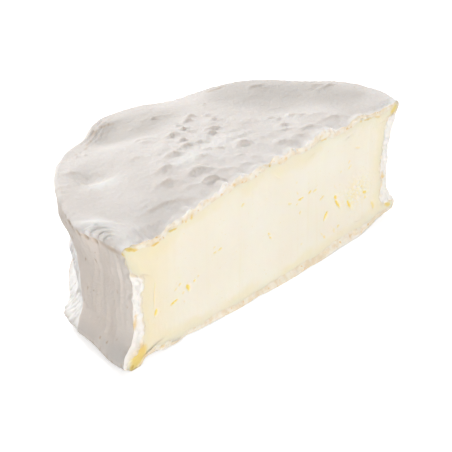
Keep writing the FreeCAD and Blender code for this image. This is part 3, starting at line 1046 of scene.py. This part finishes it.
def rind_material():
    """White bloomy skin, beige and crumbly where it is cut, amber where paste has seeped."""
    material = bpy.data.materials.new("rind")
    tree = Nodes(material)
    skin = tree.tint(tree.ramp(tree.noise(16.0, 3.0), 0.35, 0.7),
                     srgb(237, 231, 226), srgb(230, 223, 217))
    for share, colour in (
            (tree.ramp(tree.noise(1.1, 3.0), 0.52, 0.75, 0.0, 0.3), (246, 242, 238)),
            (tree.ramp(tree.attribute("wall"), 0.3, 0.9), (234, 223, 213)),
            # Painted shade where painted_shade_and_light is above 0, painted light where it is
            # below 0.
            (tree.ramp(tree.attribute("painted_shade_and_light"), 0.0, 1.0), (213, 207, 201)),
            (tree.ramp(tree.attribute("painted_shade_and_light"), 0.0, -1.0), (251, 248, 244)),
            (tree.attribute("cut"), (246, 241, 235))):
        skin = tree.tint(share, skin, srgb(*colour))

    near_paste = tree.combine("ADD", tree.attribute("paste_side"),
                              tree.ramp(tree.noise(2.2, 3.0), 0.3, 0.7, -0.8, 0.8))
    beige = tree.combine("MULTIPLY", tree.ramp(near_paste, 4.0, 1.8), tree.attribute("cut"))
    flesh = tree.tint(tree.ramp(tree.noise(2.4, 3.0), 0.36, 0.64),
                      srgb(240, 223, 196), srgb(247, 238, 222))
    colour = tree.tint(beige, skin, flesh)
    speck = tree.combine("MULTIPLY", tree.ramp(tree.noise(1.3, 2.0), 0.64, 0.72), beige)
    gold = tree.combine("MULTIPLY", tree.attribute("gold"), tree.attribute("cut"))
    for share, over in ((speck, (234, 202, 146)), (gold, (236, 198, 118)),
                        (tree.attribute("stain"), (178, 144, 100))):
        colour = tree.tint(share, colour, srgb(*over))
    grain = tree.bump(tree.noise(0.8, 3.0), 0.17)
    tree.finish({
        "Base Color": colour, "Normal": tree.bump(tree.noise(2.2, 2.0), 0.10, Normal=grain),
        "Roughness": 0.85, "Specular IOR Level": 0.25, "Sheen Weight": 0.1, "Sheen Roughness": 0.5,
        "Subsurface Weight": 0.3, "Subsurface Radius": (1.0, 0.8, 0.6),
        "Subsurface Scale": 0.4 * MM})
    return material


def paste_material():
    """Smooth ivory paste, yellower towards the rind and in its cracks."""
    material = bpy.data.materials.new("paste")
    tree = Nodes(material)
    colour = tree.tint(tree.ramp(tree.noise(22.0, 2.0), 0.35, 0.7),
                       srgb(249, 241, 226), srgb(247, 238, 221))
    rim = tree.combine("ADD", tree.attribute("rim"),
                       tree.ramp(tree.noise(9.0, 3.0), 0.3, 0.7, -1.8, 1.8))
    for share, over in (
            (tree.ramp(rim, 4.2, 0.3), (246, 235, 209)),
            (tree.attribute("warm"), (247, 232, 199)),
            (tree.ramp(tree.noise(2.6, 3.0, (1.0, 1.0, 0.06)), 0.56, 0.74, 0.0, 0.3),
             (244, 231, 205)),
            (tree.ramp(tree.noise(0.8, 1.0), 0.70, 0.78, 0.0, 0.35), (240, 220, 165)),
            (tree.attribute("gold"), (251, 222, 98)),
            (tree.ramp(tree.attribute("seep"), 0.1, 0.6), (244, 212, 130)),
            (tree.ramp(tree.attribute("seep"), 0.75, 1.0), (226, 182, 104))):
        colour = tree.tint(share, colour, srgb(*over))
    waves = tree.bump(tree.noise(2.4, 3.0), 0.05)
    tree.finish({
        "Base Color": colour, "Normal": tree.bump(tree.noise(0.6, 2.0), 0.02, Normal=waves),
        "Roughness": 0.5, "Specular IOR Level": 0.35, "Subsurface Weight": 0.5,
        "Subsurface Radius": (1.0, 0.75, 0.45), "Subsurface Scale": 2.0 * MM})
    return material


def floor_material():
    """A pale floor that the camera sees as white, with the object's shadow kept."""
    material = bpy.data.materials.new("floor")
    tree = Nodes(material)
    tree.finish({
        "Base Color": (floor_grey, floor_grey, floor_grey, 1.0), "Roughness": 0.9,
        "Specular IOR Level": 0.0, "Emission Color": (1.0, 1.0, 1.0, 1.0),
        "Emission Strength": tree.combine("MULTIPLY", tree.seen(), floor_glow)})
    return material


# ---- the studio ----
def away(azimuth, elevation):
    """Unit vector in a direction given in degrees, with the azimuth from +X."""
    azimuth, elevation = math.radians(azimuth), math.radians(elevation)
    return Vector((math.cos(azimuth) * math.cos(elevation),
                   math.sin(azimuth) * math.cos(elevation), math.sin(elevation)))


def place_lamps(centre):
    """Round lamps that face the middle of the object."""
    for name, azimuth, elevation, distance, width, power in LAMPS:
        lamp = bpy.data.lights.new(name, "AREA")
        lamp.shape, lamp.size, lamp.energy = "DISK", width, power
        holder = bpy.data.objects.new(name, lamp)
        holder.location = centre + away(azimuth, elevation) * distance
        holder.rotation_euler = away(azimuth, elevation).to_track_quat("Z", "Y").to_euler()
        bpy.context.scene.collection.objects.link(holder)


def make_world():
    """White where it is seen, and at world_level as a light."""
    world = bpy.data.worlds.new("studio")
    tree = Nodes(world)
    level = tree.combine("MULTIPLY", tree.seen(), 1.0 - world_level)
    tree.fill(tree.tree.nodes["Background"], {
        "Strength": tree.combine("ADD", level, world_level), "Color": (1.0, 1.0, 1.0, 1.0)})
    bpy.context.scene.world = world


def make_floor():
    half = floor_size / 2.0
    mesh = bpy.data.meshes.new("floor")
    corners = [(-half, -half, 0.0), (half, -half, 0.0), (half, half, 0.0), (-half, half, 0.0)]
    mesh.from_pydata(corners, [], [(0, 1, 2, 3)])
    mesh.materials.append(floor_material())
    floor = bpy.data.objects.new("floor", mesh)
    bpy.context.scene.collection.objects.link(floor)


def place_camera():
    """The camera, turned about its own axis by view_roll."""
    back = away(view_azimuth - 90.0, view_elevation)
    right = Vector((0.0, 0.0, 1.0)).cross(back).normalized()
    turned = Matrix((right, back.cross(right), back)).transposed()
    turned = turned @ Matrix.Rotation(math.radians(view_roll), 3, "Z")
    camera = bpy.data.objects.new("camera", bpy.data.cameras.new("camera"))
    camera.data.lens = view_lens
    camera.data.sensor_width = 36.0
    camera.data.clip_start = 0.01
    target = (Vector(view_target) + Vector(to_frame.tolist())) * MM
    camera.matrix_world = turned.to_4x4()
    camera.location = target + back * view_distance * MM
    bpy.context.scene.collection.objects.link(camera)
    bpy.context.scene.camera = camera


# The cut is the near side of the CAD solid's box, and the box is centred on the wheel's width.
low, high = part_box("cheese_half")
form_degrees = np.linspace(0.0, 180.0, 73)
form_x = np.concatenate([lip_radius(form_degrees), foot_reach(form_degrees)]) * np.tile(
    np.cos(np.radians(form_degrees)), 2)
to_frame = np.array([-(form_x.min() + form_x.max()) / 2.0, low[1] / MM, 0.0])

bpy.context.scene.view_settings.view_transform = "Standard"
place_camera()
rind, cut_line, cut_inward, cut_width = make_rind(rind_material())
paste = make_paste(paste_material(), cut_line, cut_inward, cut_width)
for piece, slot in ((rind, "rind"), (paste, "paste")):
    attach(piece, "root")
    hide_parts("cheese_half")
make_floor()
make_world()
place_lamps((Vector(low) + Vector(high)) / 2.0)
